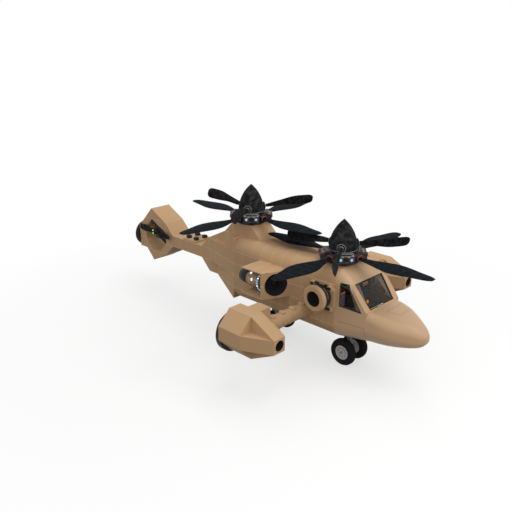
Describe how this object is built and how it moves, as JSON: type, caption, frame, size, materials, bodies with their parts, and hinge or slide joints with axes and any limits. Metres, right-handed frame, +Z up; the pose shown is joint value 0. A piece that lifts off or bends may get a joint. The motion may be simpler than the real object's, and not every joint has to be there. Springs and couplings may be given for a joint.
{
  "type": "tandem rotor helicopter",
  "caption": "Tandem helicopter with stacked rotor sets, glazed cockpit, side pods on struts, engine nacelles, a ring-shaped tail and wheeled landing gear.",
  "frame": {"origin": "ground level under the middle of the box around the whole aircraft", "axes": "+X forward to the nose, +Y to the left, +Z up; the tyres stand on Z = 0"},
  "size_m": [15.3012, 9, 5.7522],
  "materials": {
    "tan_paint": "matt sand-coloured paint",
    "blade_coating": "charcoal composite with a rough coat",
    "dark_metal": "dark heat-proof paint",
    "engine_metal": "heat-tinted casing",
    "lamp_lens": "lit lens",
    "window_glass": "clear, faintly grey",
    "cockpit_lining": "dark moulded lining",
    "seat_fabric": "woven seat cover",
    "tyre_rubber": "matt rubber",
    "rim_metal": "satin casting"
  },
  "bodies": {
    "airframe": {"centre_hull": "tan_paint", "nose_shell": "tan_paint", "aft_body": "tan_paint", "rear_pylon": "tan_paint", "tail_boom": "tan_paint", "tail_ring": "tan_paint", "boom_deck": "tan_paint", "nacelle_left": "tan_paint", "nacelle_right": "tan_paint", "connecting_port_left": "tan_paint", "connecting_port_right": "tan_paint", "pod_strut_left": "tan_paint", "pod_strut_right": "tan_paint", "pod_left": "tan_paint", "pod_right": "tan_paint", "nose_leg": "tan_paint", "main_leg_left": "tan_paint", "main_leg_right": "tan_paint", "front_mast": "dark_metal", "rear_mast": "dark_metal", "aft_exhaust": "dark_metal", "pod_nozzle_left": "dark_metal", "pod_nozzle_right": "dark_metal", "tail_drive": "dark_metal", "deck_units": "dark_metal", "intake_left": "dark_metal", "intake_right": "dark_metal", "turbine_left": "engine_metal", "turbine_right": "engine_metal", "windscreen": "window_glass", "side_window_left": "window_glass", "side_window_right": "window_glass", "cockpit_floor": "cockpit_lining", "cockpit_bulkhead": "cockpit_lining", "instrument_panel": "cockpit_lining", "crew_seats": "seat_fabric"},
    "front_lower": {"front_lower_hub": "dark_metal", "front_lower_blades": "blade_coating", "front_hub_lamps": "lamp_lens"},
    "front_upper": {"front_spinner": "blade_coating", "front_upper_blades": "blade_coating"},
    "rear_lower": {"rear_lower_hub": "dark_metal", "rear_lower_blades": "blade_coating", "rear_hub_lamps": "lamp_lens"},
    "rear_upper": {"rear_spinner": "blade_coating", "rear_upper_blades": "blade_coating"},
    "tail_propeller": {"tail_rotor": "blade_coating"},
    "nose_steering": {"nose_fork": "tan_paint"},
    "nose_wheels": {"nose_tyre_left": "tyre_rubber", "nose_tyre_right": "tyre_rubber", "nose_rim_left": "rim_metal", "nose_rim_right": "rim_metal"},
    "main_wheel_left": {"main_tyre_left": "tyre_rubber", "main_rim_left": "rim_metal"},
    "main_wheel_right": {"main_tyre_right": "tyre_rubber", "main_rim_right": "rim_metal"}
  },
  "joints": [
    {"name": "front_lower_spin", "type": "hinge", "parent": "airframe", "child": "front_lower", "pos_m": [4.15, 0, 4.2], "axis": [0, 0, 1], "continuous": true},
    {"name": "front_upper_spin", "type": "hinge", "parent": "airframe", "child": "front_upper", "pos_m": [4.15, 0, 4.2], "axis": [0, 0, 1], "continuous": true},
    {"name": "rear_lower_spin", "type": "hinge", "parent": "airframe", "child": "rear_lower", "pos_m": [-0.35, 0, 4.7], "axis": [0, 0, 1], "continuous": true},
    {"name": "rear_upper_spin", "type": "hinge", "parent": "airframe", "child": "rear_upper", "pos_m": [-0.35, 0, 4.7], "axis": [0, 0, 1], "continuous": true},
    {"name": "tail_spin", "type": "hinge", "parent": "airframe", "child": "tail_propeller", "pos_m": [-6, -0.65, 2.75], "axis": [0, 1, 0], "continuous": true},
    {"name": "nose_steer", "type": "hinge", "parent": "airframe", "child": "nose_steering", "pos_m": [4.65, 0, 0.9], "axis": [0, 0, 1], "range_deg": [-60, 60]},
    {"name": "nose_wheel_spin", "type": "hinge", "parent": "nose_steering", "child": "nose_wheels", "pos_m": [4.65, 0, 0.5], "axis": [0, 1, 0], "continuous": true},
    {"name": "main_wheel_spin_left", "type": "hinge", "parent": "airframe", "child": "main_wheel_left", "pos_m": [1.125, 0.45, 0.5], "axis": [0, 1, 0], "continuous": true},
    {"name": "main_wheel_spin_right", "type": "hinge", "parent": "airframe", "child": "main_wheel_right", "pos_m": [1.125, -0.45, 0.5], "axis": [0, 1, 0], "continuous": true}
  ]
}
